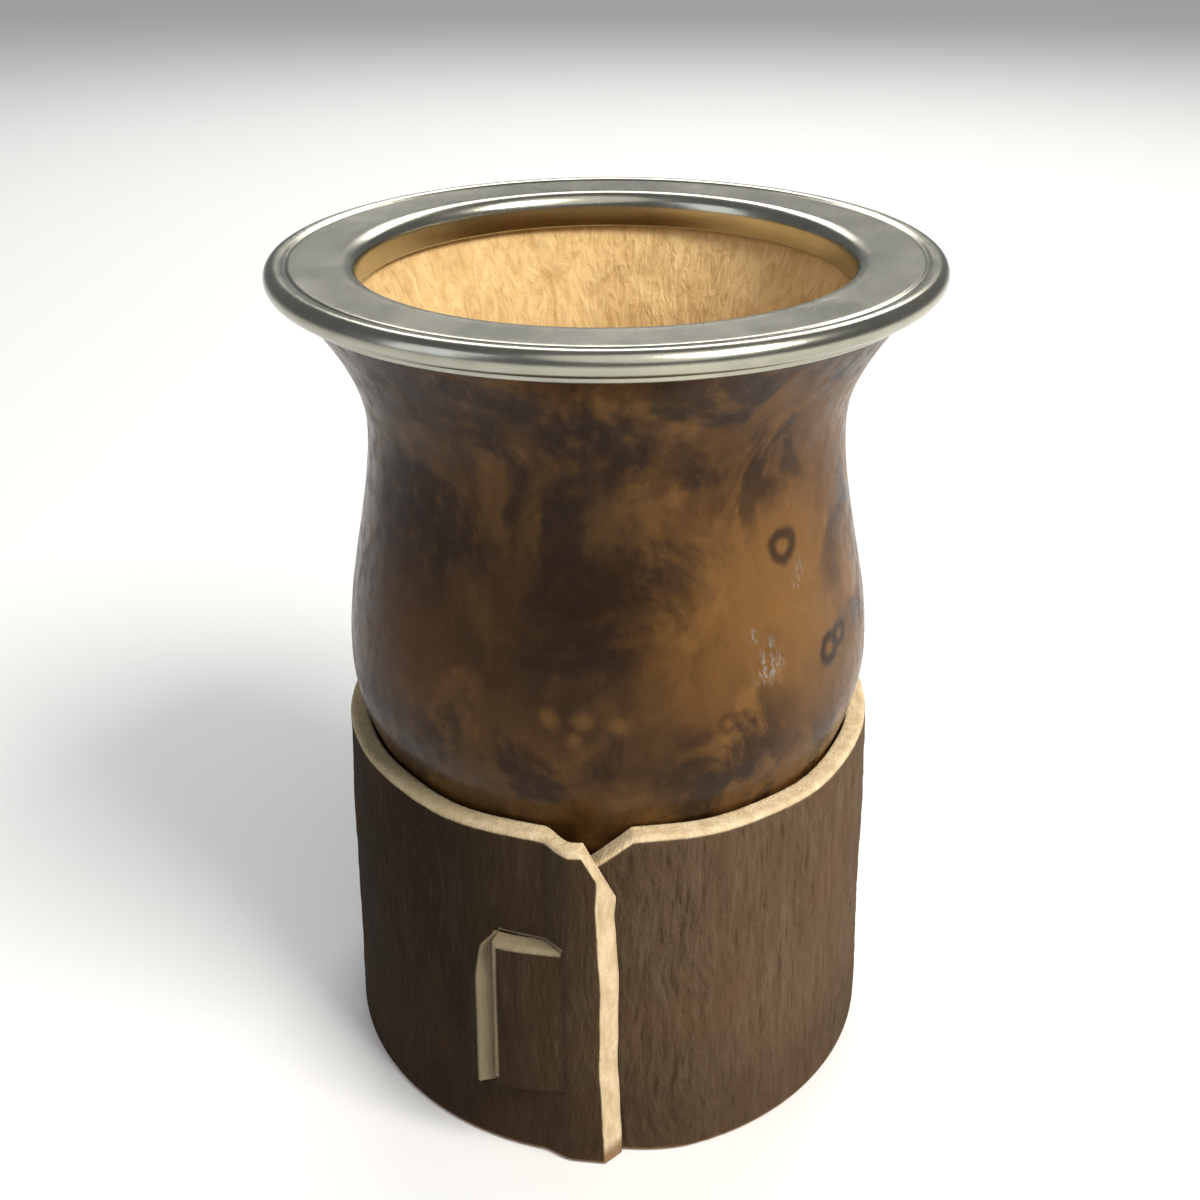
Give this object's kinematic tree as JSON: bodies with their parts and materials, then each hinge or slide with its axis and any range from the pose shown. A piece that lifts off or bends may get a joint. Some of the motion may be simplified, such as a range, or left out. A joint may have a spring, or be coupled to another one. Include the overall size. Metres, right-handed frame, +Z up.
{
  "type": "mate gourd",
  "caption": "Empty hollow gourd drinking vessel with flared neck, wide metal rim and a lapped leather band that keeps its rounded bottom upright.",
  "frame": {"origin": "on the table under the gourd's axis, at the foot of the leather band", "axes": "+Z up along the gourd's axis out of its mouth, the lapped ends of the leather band face -Y, +X to the right seen from that side"},
  "size_m": [0.0946, 0.0946, 0.1315],
  "materials": {
    "gourd": "glossy lacquered mottled brown skin, dry tan fibrous inside",
    "rim": "polished nickel silver with fine turning marks",
    "leather": "thick wrinkled brown hide with pale raw cut edges"
  },
  "bodies": {
    "root": {"gourd": "gourd", "rim": "rim", "leather_band": "leather"}
  },
  "joints": []
}
